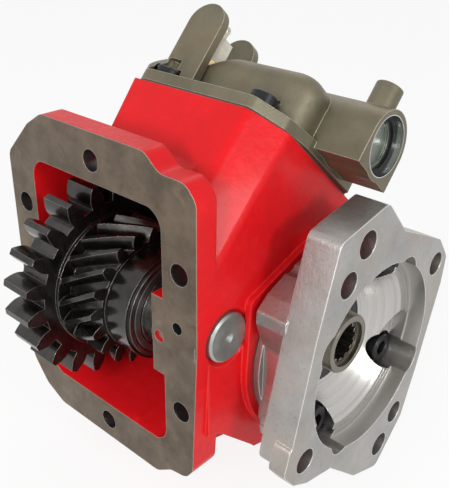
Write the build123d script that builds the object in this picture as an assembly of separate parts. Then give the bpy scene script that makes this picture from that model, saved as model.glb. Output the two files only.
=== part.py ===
from build123d import *
from math import acos, atan, atan2, cos, degrees, pi, radians, sin, sqrt, tan
import os

# Side-mount power take off for a six-bolt gearbox opening, with a pump flange.
# Millimetres. +X runs along the shafts towards the pump, -Y points at the gearbox,
# +Z is up, and the origin is the centre of the six-bolt mounting face.

# Fits and clearances
running_gap = 0.05
side_gap = 0.3
clear_gap = 1.0
gasket = 0.8

# Mounting flange
bolt_spread = 112.0
bolt_rise = 74.6
end_bolt_spread = 149.2
mount_hole_r = 5.3
flange_left = -67.0
flange_right = 66.5
flange_top = 88.5
flange_bottom = -86.0
flange_thickness = 12.0
dowel_x = 54.2
dowel_z = 9.0
dowel_r = 3.0
dowel_depth = 9.0
opening_left = -47.0
opening_right = 45.3
opening_half_height = 64.0
opening_corner_r = 10.0

# Gear train: one helical pair between the cluster and the output gear
idler_y = 20.5
idler_z = 0.0
output_z = -26.0
cluster_teeth = 19
output_teeth = 22
module_t = 3.5
pressure_t = 22.6
helical_addendum = 3.05
helical_dedendum = 3.85
helical_start = -12.5
helical_end = 12.0
helix_per_mm = 0.957
helical_phase = 167.1
backlash = 0.25
centre_distance = module_t * (cluster_teeth + output_teeth) / 2
output_y = idler_y + sqrt(centre_distance**2 - (output_z - idler_z) ** 2)

# Spur gear of the cluster, which meshes with the gearbox
spur_teeth = 21
spur_module = 4.7
spur_pressure = 20.0
spur_start = -33.0
spur_end = -14.2
spur_phase = 167.5
step_ring_r = 37.0
hub_r = 27.7
hub_end = 26.7
spur_tip_r = spur_module * (spur_teeth + 2) / 2

# Tapered roller bearings: bore radius, outer radius, width
small_bore_r = 12.5
small_outer_r = 26.0
small_width = 15.0
large_bore_r = 20.0
large_outer_r = 34.0
large_width = 18.0
roller_count = 13
roller_start = 5.0

# Idler shaft
idler_front_bearing = 14.2
idler_rear_bearing = -20.0
idler_shaft_end = 67.4
idler_shaft_tail = -55.0
idler_boss_r = 21.0
idler_boss_face = 37.8
idler_rear_boss_face = -37.0
seal_ring_section = 2.4
seal_ring_x = 60.0
lock_pin_r = 3.0
lock_pin_x = 42.6
lock_pin_length = 36.0

# Housing walls
side_wall_x = 66.5
side_wall = 10.5
left_wall_x = -56.0
wall = 9.0
upper_left_x = -20.5
lower_left_x = -15.0
left_body_end = -10.0
lean_depth = 45.0
slope_rise = 1.02
corner_width = 14.0
corner_depth = 17.5
corner_round = 6.0
foot_x = 50.0
foot_thickness = 16.0
foot_top = -45.0
foot_rise_z = -52.0
boss_sweep_r = 58.0
rear_boss_r = small_outer_r + 11.0
left_body_half = 74.0
sump_start_z = -71.0
bolt_pocket_r = 9.0
bolt_pocket_depth = 10.0
sump_front = (43.0, -80.0)
sump_back = (58.0, -84.5)
pad_x = 70.0
pad_r = 56.5
pad_lug = (-50.5, 37.5)
pad_lug_r = 4.5
gear_room = 4.0
flange_corner_r = 8.0
root_r = 8.0

# Cover plane, tilted back from level, and its distance from the origin
cover_tilt = 42.0
cover_height = 105.5
plate_left = -23.0
plate_right = 70.5
plate_front = -32.5
plate_back = 60.0
plate_corner_r = 10.5
plate_thickness = 6.5
plate_shoulder = (68.5, 0.0)
plate_elbow = (64.0, -17.0)
cover_screw_left = -12.5
cover_screw_right = 49.5
cover_screw_rear_x = 54.5
cover_screw_front = -21.8
cover_screw_back = 47.0
cover_screw_seat = 4.0
window_left = 12.0
window_right = 44.0
window_front = 2.0
window_back = 52.0

# Shift cylinder in the cover: along X, at (u, height above the cover plane)
rod_u = 20.6
rod_h = 19.7
cylinder_bore_r = 14.5
cylinder_wall = 2.9
cylinder_start = 52.0
cylinder_end = 93.0
cylinder_foot = 3.4
cylinder_barrel_start = -4.0
body_left = -18.0
body_front_u = -16.0
body_back_u = 36.0
body_foot_u = 53.0
body_top_h = 33.0
body_low_h = 22.5
body_end_x = 65.5
body_end_round = 14.0
body_ramp_start = 4.0
body_ramp_end = 20.0
body_round = 11.0
ear_width = 22.0
ear_x = -6.8
ear_top_h = 52.3
ear_thickness = 5.0
flare_top_h = 20.5
front_ear_u = -22.0
back_ear_u = 10.0
port_x = 80.0
port_r = 7.0
port_bore_r = 4.3
port_top_h = 48.5
screw_notch_r = 7.6

# Piston, rod and fork
piston_x = 66.0
piston_length = 10.0
rod_r = 6.0
rod_tail = 2.0
rod_end_gap = 2.0
shift_travel = 6.0
cap_x = 83.0
cap_thickness = 4.0
ring_thickness = 1.5
ring_depth = 1.3
spring_wire_r = 1.1
spring_coil_r = 11.0
spring_turns = 3.0
fork_x = 32.5
fork_hub_r = 11.0
fork_hub_start = 22.0
fork_hub_end = 37.0
fork_stem_width = 16.0
fork_ring_r = 36.5

# Output shaft, gear and clutch collar
shaft_tail = -52.0
journal_r = 17.0
journal_start = -12.0
spline_start = 12.0
spline_tip_r = 20.0
spline_root_r = 18.0
spline_teeth = 16
front_journal_x = 47.5
shaft_nose = 91.0
nose_bore_r = 12.8
nose_bore_depth = 3.0
pump_spline_teeth = 13
pump_spline_major_r = 11.2
pump_spline_minor_r = 9.6
pump_spline_depth = 34.0
gear_half_width = 11.4
gear_bush_wall = 2.5
washer_thickness = 1.7
washer_r = 22.0
spacer_r = 16.4
dog_teeth = 8
dog_inner_r = 22.5
dog_outer_r = 31.0
dog_height = 5.0
dog_gap = 1.5
dog_share = 0.47
collar_r = 31.0
collar_groove_r = 25.5
collar_groove = 7.2
collar_rear_lip = 6.0
collar_front_lip = 4.0

# Rear bearing cap
cap_flange_thickness = 6.0
rear_cap_bolt_r = small_outer_r + 5.5
rear_cap_screw_r = 3.0

# Pump flange
pump_face_x = 106.5
pump_plate = 17.5
pump_front_lobe = 9.5
pump_body_start = 73.0
pilot_r = 50.8
pilot_depth = 9.5
pump_clock = 15.0
four_bolt_pcd = 127.0
two_bolt_spread = 146.05
four_bolt_r = 6.6
two_bolt_r = 7.0
seal_r = 26.0
seal_width = 8.0
seal_x = 71.0
flange_screw_r = 5.0
flange_screw_circle = large_outer_r + 10.0
flange_screw_seat = 80.0
flange_screw_depth = 13.4
flange_head_r = 8.0
flange_head_height = 10.0
flange_socket = 8.0
flange_pocket_r = 10.0
cover_screw_r = 4.0
cover_head_r = 6.5
cover_head_height = 8.0
cover_socket = 6.0
pump_tail_r = flange_screw_circle + flange_screw_r + 3.0
recess_floor = 89.0
recess_outer_r = pilot_r - 1
recess_inner_r = 37.0
recess_width = 24.3
recess_hole = (45.6, -5.0)
recess_hole_r = 2.2
recess_hole_depth = 9.0

# Indicator switch between the cover's ears
switch_x = -6.0
switch_u = -6.0
switch_hex = 14.0
switch_body_h = 5.0
switch_thread_r = 5.0
switch_thread_depth = 12.0
nylon_size = 10.5
nylon_h = 13.4
terminal_h = 8.5
terminal_r = 2.2


def along_x(x, y, z):
    """Local XY plane onto world YZ at x, with local +Z along world +X."""
    return Plane(origin=(x, y, z), x_dir=(0, 1, 0), z_dir=(1, 0, 0)).location


def round_bar(x0, x1, y, z, r):
    return along_x(x0, y, z) * extrude(Circle(r), x1 - x0)


def ring(x0, x1, y, z, r_out, r_in):
    return along_x(x0, y, z) * extrude(Circle(r_out) - Circle(r_in), x1 - x0)


def cone_bar(x0, x1, y, z, r0, r1):
    return along_x(x0, y, z) * Cone(r0, r1, x1 - x0, align=(Align.CENTER, Align.CENTER, Align.MIN))


def box(x0, x1, y0, y1, z0, z1):
    return Pos((x0 + x1) / 2, (y0 + y1) / 2, (z0 + z1) / 2) * Box(x1 - x0, y1 - y0, z1 - z0)


def polar(r, degree):
    return (r * cos(radians(degree)), r * sin(radians(degree)))


def turned(profile, x, y, z):
    """Revolve an (x, radius) outline about the X direction through (y, z)."""
    face = make_face(Polyline(*profile, close=True))
    return Pos(x, y, z) * revolve(face, Axis.X)


# The cover's own frame: x along the shafts, u down the slope, h out of the cover plane
tilt_sin = sin(radians(cover_tilt))
tilt_cos = cos(radians(cover_tilt))
cover_plane = Plane(
    origin=(0, cover_height * tilt_sin, cover_height * tilt_cos),
    x_dir=(1, 0, 0),
    z_dir=(0, tilt_sin, tilt_cos),
)
cover_at = cover_plane.location


def cover_point(u, h):
    """World (y, z) of a point in the cover's frame."""
    n = cover_height + h
    return (u * tilt_cos + n * tilt_sin, -u * tilt_sin + n * tilt_cos)


rod_y, rod_z = cover_point(rod_u, rod_h)


def slab(u0, u1, x0, x1, h0, h1):
    """A block in the cover's frame."""
    return Pos((x0 + x1) / 2, (u0 + u1) / 2, (h0 + h1) / 2) * Box(x1 - x0, u1 - u0, h1 - h0)


def cover_profile(points, x0, x1):
    """Extrude an outline of (u, h) points along X, in the cover's frame."""
    plane = Plane(origin=(x0, 0, 0), x_dir=(0, 1, 0), z_dir=(1, 0, 0))
    return plane.location * extrude(make_face(Polyline(*points, close=True)), x1 - x0)


def cover_bar(x0, x1, u, h, r):
    plane = Plane(origin=(x0, u, h), x_dir=(0, 1, 0), z_dir=(1, 0, 0))
    return plane.location * extrude(Circle(r), x1 - x0)


def gear_outline(teeth, module, pressure, tip_r, root_r, phase):
    """Involute outline with straight roots below the base circle."""
    pitch_r = teeth * module / 2
    base_r = pitch_r * cos(radians(pressure))
    involute_at_pitch = tan(radians(pressure)) - radians(pressure)
    half_base = pi / 2 / teeth - backlash / 4 / pitch_r + involute_at_pitch

    def half_angle(r):
        roll = sqrt(max(0.0, (r / base_r) ** 2 - 1))
        return half_base - (roll - atan(roll))

    def point(r, angle):
        return (r * cos(angle), r * sin(angle))

    flank_r = [base_r + (tip_r - base_r) * share for share in (0, 0.15, 0.45, 1)]
    edges = []
    for k in range(teeth):
        centre = radians(phase) + 2 * pi * k / teeth
        rise = [point(r, centre - half_angle(r)) for r in flank_r]
        fall = [point(r, centre + half_angle(r)) for r in reversed(flank_r)]
        root_in = point(root_r, centre - half_base)
        root_out = point(root_r, centre + half_base)
        root_mid = point(root_r, centre + pi / teeth)
        root_next = point(root_r, centre + 2 * pi / teeth - half_base)
        edges += [
            Line(root_in, rise[0]),
            Spline(*rise),
            ThreePointArc(rise[-1], point(tip_r, centre), fall[0]),
            Spline(*fall),
            Line(fall[-1], root_out),
            ThreePointArc(root_out, root_mid, root_next),
        ]
    return Wire(edges)


def spline_outline(teeth, tip_r, root_r, tip_share, root_share):
    """Straight-sided spline teeth, shares of the pitch at tip and root."""
    points = []
    pitch = 360 / teeth
    for k in range(teeth):
        centre = k * pitch
        points.append(polar(root_r, centre - root_share * pitch / 2))
        points.append(polar(tip_r, centre - tip_share * pitch / 2))
        points.append(polar(tip_r, centre + tip_share * pitch / 2))
        points.append(polar(root_r, centre + root_share * pitch / 2))
    return make_face(Polyline(*points, close=True))


def hexagon(across_flats):
    return RegularPolygon(across_flats / sqrt(3), 6)


def socket_screw(shank_r, length, head_r, head_height, socket):
    """Socket head cap screw: seat at z = 0, head above, shank below."""
    head = Cylinder(head_r, head_height, align=(Align.CENTER, Align.CENTER, Align.MIN))
    body = chamfer(head.edges().group_by(Axis.Z)[-1], 0.6)
    body += Cylinder(shank_r, length, align=(Align.CENTER, Align.CENTER, Align.MAX))
    return body - Pos(0, 0, head_height / 2) * extrude(hexagon(socket), head_height)


def mounting_holes():
    """Centres of the six bolts in (x, z)."""
    sides = [(sx * bolt_spread / 2, sz * bolt_rise / 2) for sx in (-1, 1) for sz in (-1, 1)]
    return sides + [(0, end_bolt_spread / 2), (0, -end_bolt_spread / 2)]


def flange_screw_centres():
    angles = [pump_clock + 45 + 90 * k for k in range(4)]
    return [
        (output_y + polar(flange_screw_circle, a)[0], output_z + polar(flange_screw_circle, a)[1])
        for a in angles
    ]


def cover_screw_centres():
    return [
        (cover_screw_left, cover_screw_front),
        (cover_screw_right, cover_screw_front),
        (cover_screw_left, cover_screw_back),
        (cover_screw_rear_x, cover_screw_back),
    ]


def lean_cut():
    """Wedge that makes the left wall lean inwards below the cover, in the cover's frame."""
    outline = [
        (upper_left_x - 10, 5),
        (upper_left_x, 5),
        (upper_left_x, 0),
        (lower_left_x, -lean_depth),
        (lower_left_x, -260),
        (upper_left_x - 10, -260),
    ]
    return Plane.XZ.location * extrude(make_face(Polyline(*outline, close=True)), 200, both=True)


def corner_cut():
    """Rounded chamfer of the corner between the front slope and the right wall."""
    y, z = cover_point(plate_front, 0)
    inner_x = side_wall_x - corner_width
    points = [
        (inner_x - 30, 0),
        (inner_x, 0),
        (side_wall_x, corner_depth),
        (side_wall_x, 60),
        (inner_x - 30, 60),
    ]
    kept = make_face(Polyline(*points, close=True))
    corners = kept.vertices().filter_by_position(Axis.X, inner_x - 1, side_wall_x + 1)
    kept = fillet(corners.filter_by_position(Axis.Y, -1, corner_depth + 1), corner_round)
    block = Pos(inner_x + 16, 6) * Rectangle(50, 50)
    along_slope = Plane(origin=(0, y, z), x_dir=(1, 0, 0), z_dir=(0, 1, slope_rise))
    return along_slope.location * Pos(0, 0, -200) * extrude(block - kept, 240)


def root_fillet(slope_foot):
    """Concave web between the back of the mounting flange and the front slope, in (y, z)."""
    run = sqrt(1 + slope_rise**2)
    reach = root_r / tan(atan(1 / slope_rise) / 2)
    on_flange = (flange_thickness, slope_foot + reach)
    on_slope = (flange_thickness + reach / run, slope_foot + reach * slope_rise / run)
    centre = (flange_thickness + root_r, slope_foot + reach)
    away = sqrt(root_r**2 + reach**2)
    middle = (centre[0] - root_r * root_r / away, centre[1] - root_r * reach / away)
    deep = (flange_thickness - 2, slope_foot - 4)
    top = (flange_thickness - 2, on_flange[1])
    back = (on_slope[0] + 2, on_slope[1] - 4)
    edges = [
        Line(deep, top),
        Line(top, on_flange),
        ThreePointArc(on_flange, middle, on_slope),
        Line(on_slope, back),
        Line(back, deep),
    ]
    return make_face(Wire(edges))


def foot_cut():
    """Clear space under the right wall, behind the mounting flange."""
    points = [
        (flange_thickness, foot_rise_z),
        (flange_thickness + 5, foot_rise_z - 3),
        sump_front,
        (sump_front[0], -120),
        (-5, -120),
        (-5, foot_rise_z),
    ]
    return along_x(foot_x, 0, 0) * extrude(make_face(Polyline(*points, close=True)), 40)


def make_housing():
    front = Plane.XZ.location
    outline = [
        (-36, flange_top),
        (36, flange_top),
        (45, 81),
        (60, 81),
        (flange_right, 74),
        (flange_right, 0),
        (63.5, -70),
        (59, -77),
        (48, -79),
        (38, flange_bottom),
        (-42, flange_bottom),
        (-56, -79),
        (flange_left, -65),
        (flange_left, 62),
        (-48, 81),
    ]
    face = make_face(Polyline(*outline, close=True))
    face = fillet(face.vertices(), flange_corner_r)
    flange = front * extrude(face, -flange_thickness)

    cover_front = cover_point(plate_front, 0)
    cover_back = cover_point(plate_back, 0)
    back_y = flange_thickness
    slope_foot = cover_front[1] - (cover_front[0] - back_y) * slope_rise
    swing = Pos(output_y, output_z) * Circle(boss_sweep_r)
    profile = make_hull(
        swing.edges()
        + [
            Line((back_y - 4, sump_start_z), (back_y - 4, slope_foot - 4)),
            Line(cover_front, cover_back),
            Line(sump_front, sump_back),
        ]
    )
    body = along_x(upper_left_x, 0, 0) * extrude(profile, side_wall_x - upper_left_x)
    web = along_x(upper_left_x, 0, 0) * extrude(root_fillet(slope_foot), side_wall_x - upper_left_x)
    body += web & (front * extrude(face, -(flange_thickness + 40)))
    body -= cover_at * lean_cut()
    body -= corner_cut()
    body -= foot_cut()
    cast_body = body
    reach = spur_tip_r + gear_room + wall * 0.6
    left_hull = make_hull(
        (Pos(idler_y, idler_z) * Circle(reach)).edges()
        + (Pos(output_y, output_z) * Circle(rear_boss_r + 4)).edges()
        + [Line((back_y - 4, -left_body_half), (back_y - 4, left_body_half))]
    )
    left_body = along_x(left_wall_x, 0, 0) * extrude(left_hull, left_body_end - left_wall_x)
    left_body &= box(left_wall_x, left_body_end, back_y - 2, 200, -150, 150)
    body += left_body
    foot = front * extrude(face, -foot_thickness)
    foot &= box(foot_x, flange_right + 1, 0, foot_thickness, flange_bottom - 1, foot_top)
    solid = flange + foot + body
    pad = make_hull(Circle(pad_r).edges() + (Pos(*pad_lug) * Circle(pad_lug_r)).edges())
    solid += along_x(side_wall_x - 1, output_y, output_z) * extrude(pad, pad_x - side_wall_x + 1)
    solid += round_bar(left_wall_x - 3, left_wall_x, output_y, output_z, rear_boss_r)

    inner = side_wall_x - side_wall
    mouth = Polyline(
        (opening_left, -opening_half_height),
        (opening_right, -opening_half_height),
        (opening_right, opening_half_height),
        (opening_left, opening_half_height),
        close=True,
    )
    for x, z in (mounting_holes()[-2:]):
        pocket = Cylinder(bolt_pocket_r, bolt_pocket_depth, align=(Align.CENTER, Align.CENTER, Align.MIN))
        solid -= Pos(x, flange_thickness, z) * Rot(-90, 0, 0) * pocket
    mouth_face = make_face(mouth)
    mouth_face = fillet(mouth_face.vertices(), opening_corner_r)
    room_r = spur_tip_r + gear_room
    swept = make_hull(
        (Pos(idler_y, idler_z) * Circle(room_r)).edges()
        + [Line((-1, -opening_half_height), (-1, opening_half_height))]
    )
    gear_space = along_x(opening_left, 0, 0) * extrude(swept, opening_right - opening_left)
    solid -= gear_space & (front * extrude(mouth_face, -(idler_y + room_r + 1)))
    gear_cavity_r = module_t * output_teeth / 2 + helical_addendum + gear_room
    solid -= round_bar(spur_end - 6, inner, output_y, output_z, gear_cavity_r)
    solid -= round_bar(opening_left, inner, output_y, output_z, rear_boss_r - 5)
    corridor = [
        cover_point(u, h)
        for u, h in (
            (window_front - 12, -wall),
            (window_back, -wall),
            (80, -22),
            (82, -52),
            (window_front - 12, -45),
        )
    ]
    room = make_face(Polyline(*corridor, close=True))
    solid -= along_x(-8, 0, 0) * extrude(room, inner + 8)
    window = slab(window_front, window_back, window_left, window_right, -wall - 1, 1)
    solid -= cover_at * window

    # Bosses that carry the shafts
    y0 = 0.0
    boss = box(idler_boss_face, side_wall_x - 1, y0, idler_y, idler_z - idler_boss_r, idler_z + idler_boss_r)
    boss += round_bar(idler_boss_face, side_wall_x - 1, idler_y, idler_z, idler_boss_r)
    solid += boss
    solid += round_bar(opening_left - 1, idler_rear_boss_face, idler_y, idler_z, idler_boss_r)
    solid += ring(front_journal_x - 1, inner + 1, output_y, output_z, large_outer_r + 9, large_outer_r)
    rear_inner = spur_start - 2.6
    solid += ring(opening_left - 1, rear_inner, output_y, output_z, small_outer_r + 5, small_outer_r)

    for x, u in cover_screw_centres():
        post = Pos(x, u, -20) * Cylinder(9.5, 20, align=(Align.CENTER, Align.CENTER, Align.MIN))
        solid += (cover_at * post) & cast_body
        hole = Pos(x, u, -16.5) * Cylinder(
            cover_screw_r, 17.5, align=(Align.CENTER, Align.CENTER, Align.MIN)
        )
        solid -= cover_at * hole

    # Bores
    solid -= round_bar(idler_boss_face - 1, side_wall_x + 1, idler_y, idler_z, small_bore_r)
    solid -= cone_bar(side_wall_x - 2.5, side_wall_x + 0.1, idler_y, idler_z, small_bore_r, small_bore_r + 2.6)
    solid -= round_bar(idler_shaft_tail, idler_rear_boss_face + 1, idler_y, idler_z, small_bore_r)
    solid -= round_bar(front_journal_x - 2, pad_x + 1, output_y, output_z, large_outer_r)
    solid -= round_bar(left_wall_x - 4, rear_inner + 1, output_y, output_z, small_outer_r)
    solid -= Pos(lock_pin_x, -1, idler_z) * Rot(-90, 0, 0) * Cylinder(
        lock_pin_r, lock_pin_length + 3, align=(Align.CENTER, Align.CENTER, Align.MIN)
    )
    for y, z in flange_screw_centres():
        solid -= round_bar(pad_x - flange_screw_depth, pad_x + 1, y, z, flange_screw_r)
    for k in range(4):
        dy, dz = polar(rear_cap_bolt_r, 45 + 90 * k)
        x0 = left_wall_x - 4
        solid -= round_bar(x0, x0 + 17, output_y + dy, output_z + dz, rear_cap_screw_r)
    for x, z in mounting_holes():
        drill = Cylinder(mount_hole_r, flange_thickness * 2 + 2)
        solid -= Pos(x, 0, z) * Rot(90, 0, 0) * drill
    solid -= Pos(dowel_x, 0, dowel_z) * Rot(90, 0, 0) * Cylinder(dowel_r, dowel_depth * 2)
    return solid


def make_bearing(bore_r, outer_r, width, flip, x, y, z):
    """Cup, cone, rollers and cage; the wide side of the rollers faces +X unless flipped."""
    section = outer_r - bore_r
    cup_small = bore_r + section * 0.575
    cup_slope = section * 0.28 / (width - 1)
    cone_small = bore_r + section * 0.205
    cone_slope = section * 0.20 / (width - 1)
    lip = 3.0
    cup = [(0, cup_small), (width - 1, cup_small + cup_slope * (width - 1)), (width - 1, outer_r), (0, outer_r)]
    start = 0.6
    race_end = width - lip + 0.6
    cone = [
        (start, bore_r),
        (width, bore_r),
        (width, cone_small + section * 0.31),
        (race_end, cone_small + section * 0.295),
        (race_end, cone_small + cone_slope * race_end),
        (lip, cone_small + cone_slope * lip),
        (lip, cone_small + section * 0.09),
        (start, cone_small + section * 0.075),
    ]
    x_in = lip + 0.7
    x_out = race_end - 1.4
    cup_r = [cup_small + cup_slope * v for v in (x_in, x_out)]
    cone_r = [cone_small + cone_slope * v for v in (x_in, x_out)]
    mid = [(a + b) / 2 for a, b in zip(cup_r, cone_r)]
    half = [(a - b) / 2 * 0.97 - 0.2 for a, b in zip(cup_r, cone_r)]
    lean = atan2(mid[1] - mid[0], x_out - x_in)
    long = sqrt((mid[1] - mid[0]) ** 2 + (x_out - x_in) ** 2)
    roller = Cone(half[0], half[1], long, align=(Align.CENTER, Align.CENTER, Align.MIN))
    roller = Plane(origin=(x_in, 0, mid[0]), z_dir=(cos(lean), 0, sin(lean))).location * roller
    turn = 360 / roller_count
    rollers = [Rot(turn * k + roller_start, 0, 0) * roller for k in range(roller_count)]

    front_lip = cup_small + cup_slope * (width - 1)
    small_ring_r = cone_small + section * 0.135
    large_ring_r = cone_small + section * 0.355
    small_ring = [
        (0.8, small_ring_r),
        (2.2, small_ring_r),
        (2.2, cup_small - 0.5),
        (0.8, cup_small - 0.5),
    ]
    large_ring = [
        (width - 1.6, large_ring_r),
        (width - 0.4, large_ring_r),
        (width - 0.4, front_lip - 0.7),
        (width - 1.6, front_lip - 0.7),
    ]
    cage = turned(small_ring, 0, 0, 0) + turned(large_ring, 0, 0, 0)
    bar_in = cup_small - section * 0.12
    bar_out = front_lip - section * 0.14
    bar_outline = [
        (1.5, bar_in - 0.6),
        (width - 1, bar_out - 0.6),
        (width - 1, bar_out + 0.5),
        (1.5, bar_in + 0.5),
    ]
    bar_face = make_face(Polyline(*bar_outline, close=True))
    bar = Plane.XZ.location * extrude(bar_face, 0.5, both=True)
    for k in range(roller_count):
        cage += Rot(turn * (k + 0.5) + roller_start, 0, 0) * bar
    turn_round = Rot(0, 180, 0) if flip else Rot(0, 0, 0)
    place = Pos(x, y, z) * turn_round
    set_of_rollers = Compound(children=[place * r for r in rollers])
    return [place * turned(cup, 0, 0, 0), place * turned(cone, 0, 0, 0), set_of_rollers, place * cage]


def make_cluster():
    helical = gear_outline(
        cluster_teeth,
        module_t,
        pressure_t,
        module_t * cluster_teeth / 2 + helical_addendum,
        module_t * cluster_teeth / 2 - helical_dedendum,
        helical_phase - helix_per_mm * helical_start,
    )
    width = helical_end - helical_start
    teeth = Solid.extrude_linear_with_rotation(helical, (0, 0, 0), (0, 0, width), -helix_per_mm * width)
    gear = along_x(helical_start, idler_y, idler_z) * teeth
    spur = gear_outline(
        spur_teeth,
        spur_module,
        spur_pressure,
        spur_tip_r,
        spur_module * (spur_teeth - 2.5) / 2,
        spur_phase,
    )
    gear += along_x(spur_start, idler_y, idler_z) * extrude(Face(spur), spur_end - spur_start)
    gear += round_bar(spur_end - 1, helical_start + 0.2, idler_y, idler_z, step_ring_r)
    gear += round_bar(helical_end - 1, hub_end, idler_y, idler_z, hub_r)
    seat_front = idler_front_bearing - 0.4
    seat_rear = idler_rear_bearing + 0.4
    gear -= round_bar(spur_start - 1, hub_end + 1, idler_y, idler_z, small_bore_r + 4)
    gear -= round_bar(seat_front, hub_end + 1, idler_y, idler_z, small_outer_r)
    gear -= round_bar(spur_start - 1, seat_rear, idler_y, idler_z, small_outer_r)
    return gear


def make_output_gear():
    ratio = cluster_teeth / output_teeth
    toward = degrees(atan2(output_z - idler_z, output_y - idler_y))
    lead_offset = helical_phase - toward
    gap_angle = toward + 180 - lead_offset * ratio
    phase = gap_angle + 180 / output_teeth
    pitch_r = module_t * output_teeth / 2
    turn_per_mm = helix_per_mm * ratio
    outline = gear_outline(
        output_teeth,
        module_t,
        pressure_t,
        pitch_r + helical_addendum,
        pitch_r - helical_dedendum,
        phase - turn_per_mm * gear_half_width,
    )
    width = gear_half_width * 2
    teeth = Solid.extrude_linear_with_rotation(outline, (0, 0, 0), (0, 0, width), turn_per_mm * width)
    gear = along_x(-gear_half_width, output_y, output_z) * teeth
    gear += dogs(gear_half_width - 0.5, gear_half_width + dog_height, 0)
    return gear - round_bar(-gear_half_width - 1, 40, output_y, output_z, journal_r + gear_bush_wall)


def dogs(x0, x1, turn):
    """Ring of face dogs about the output axis."""
    pitch = 360 / dog_teeth
    half = pitch * dog_share / 2
    pieces = []
    for k in range(dog_teeth):
        mid = turn + k * pitch
        points = [
            polar(dog_inner_r, mid - half),
            polar(dog_outer_r, mid - half),
            polar(dog_outer_r, mid),
            polar(dog_outer_r, mid + half),
            polar(dog_inner_r, mid + half),
        ]
        dog = extrude(make_face(Polyline(*points, close=True)), x1 - x0)
        pieces.append(along_x(x0, output_y, output_z) * dog)
    return pieces


def make_output_shaft():
    y, z = output_y, output_z
    shaft = round_bar(shaft_tail, journal_start, y, z, small_bore_r)
    shaft += round_bar(journal_start, spline_start, y, z, journal_r)
    splines = spline_outline(spline_teeth, spline_tip_r - running_gap, spline_root_r, 0.34, 0.50)
    shaft += along_x(spline_start, y, z) * extrude(splines, front_journal_x - 1 - spline_start)
    shaft += round_bar(front_journal_x - 2.5, front_journal_x + 0.6, y, z, large_bore_r + 2.5)
    shaft += round_bar(front_journal_x, shaft_nose, y, z, large_bore_r)
    shaft -= round_bar(shaft_nose - nose_bore_depth, shaft_nose + 1, y, z, nose_bore_r)
    socket = spline_outline(pump_spline_teeth, pump_spline_major_r, pump_spline_minor_r, 0.42, 0.62)
    shaft -= along_x(shaft_nose - pump_spline_depth, y, z) * extrude(socket, pump_spline_depth + 1)
    return shaft


def make_collar():
    y, z = output_y, output_z
    start = gear_half_width + dog_height + dog_gap
    ring_start = start + dog_height
    length = collar_rear_lip + collar_groove + collar_front_lip
    collar = round_bar(ring_start, ring_start + length, y, z, collar_r)
    groove = ring_start + collar_rear_lip
    collar -= ring(groove, groove + collar_groove, y, z, collar_r + 1, collar_groove_r)
    collar += dogs(start, ring_start + 0.5, 180 / dog_teeth)
    bore = spline_outline(spline_teeth, spline_tip_r + running_gap, spline_root_r + running_gap, 0.38, 0.54)
    collar -= along_x(start - 1, y, z) * extrude(bore, length + dog_height + 3)
    return collar


def make_fork():
    hub = round_bar(fork_hub_start, fork_hub_end, rod_y, rod_z, fork_hub_r)
    thickness = collar_groove - 2 * side_gap
    angle = degrees(atan2(rod_z - output_z, rod_y - output_y))
    reach = sqrt((rod_z - output_z) ** 2 + (rod_y - output_y) ** 2)
    inner_r = collar_groove_r + side_gap
    half_ring = Circle(fork_ring_r) - Circle(inner_r)
    half_ring &= Pos(50, 0) * Rectangle(100, 100)
    stem = Pos((inner_r + reach) / 2 + 2, 0) * Rectangle(reach - inner_r - 4, fork_stem_width)
    blade = Rot(0, 0, angle) * (half_ring + stem)
    fork = along_x(fork_groove_x() - thickness / 2, output_y, output_z) * extrude(blade, thickness)
    fork += hub
    return fork - round_bar(fork_hub_start - 1, fork_hub_end + 1, rod_y, rod_z, rod_r)


def fork_groove_x():
    ring_start = gear_half_width + dog_height + dog_gap + dog_height
    return ring_start + collar_rear_lip + collar_groove / 2


def plate_outline():
    """Foot of the cover on the cover plane, its left corners round the screws."""
    points = [
        (plate_left, plate_front),
        (side_wall_x - corner_width, plate_front),
        plate_elbow,
        plate_shoulder,
        (plate_right, cover_screw_back),
        (cover_screw_rear_x + 3.5, plate_back),
        (plate_left, plate_back),
    ]
    face = make_face(Polyline(*points, close=True))
    left = face.vertices().filter_by_position(Axis.X, plate_left - 1, plate_left + 1)
    face = fillet(left, plate_corner_r)
    right = face.vertices().filter_by_position(Axis.X, 0, plate_right + 1)
    return fillet(right, 4.0)


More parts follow.
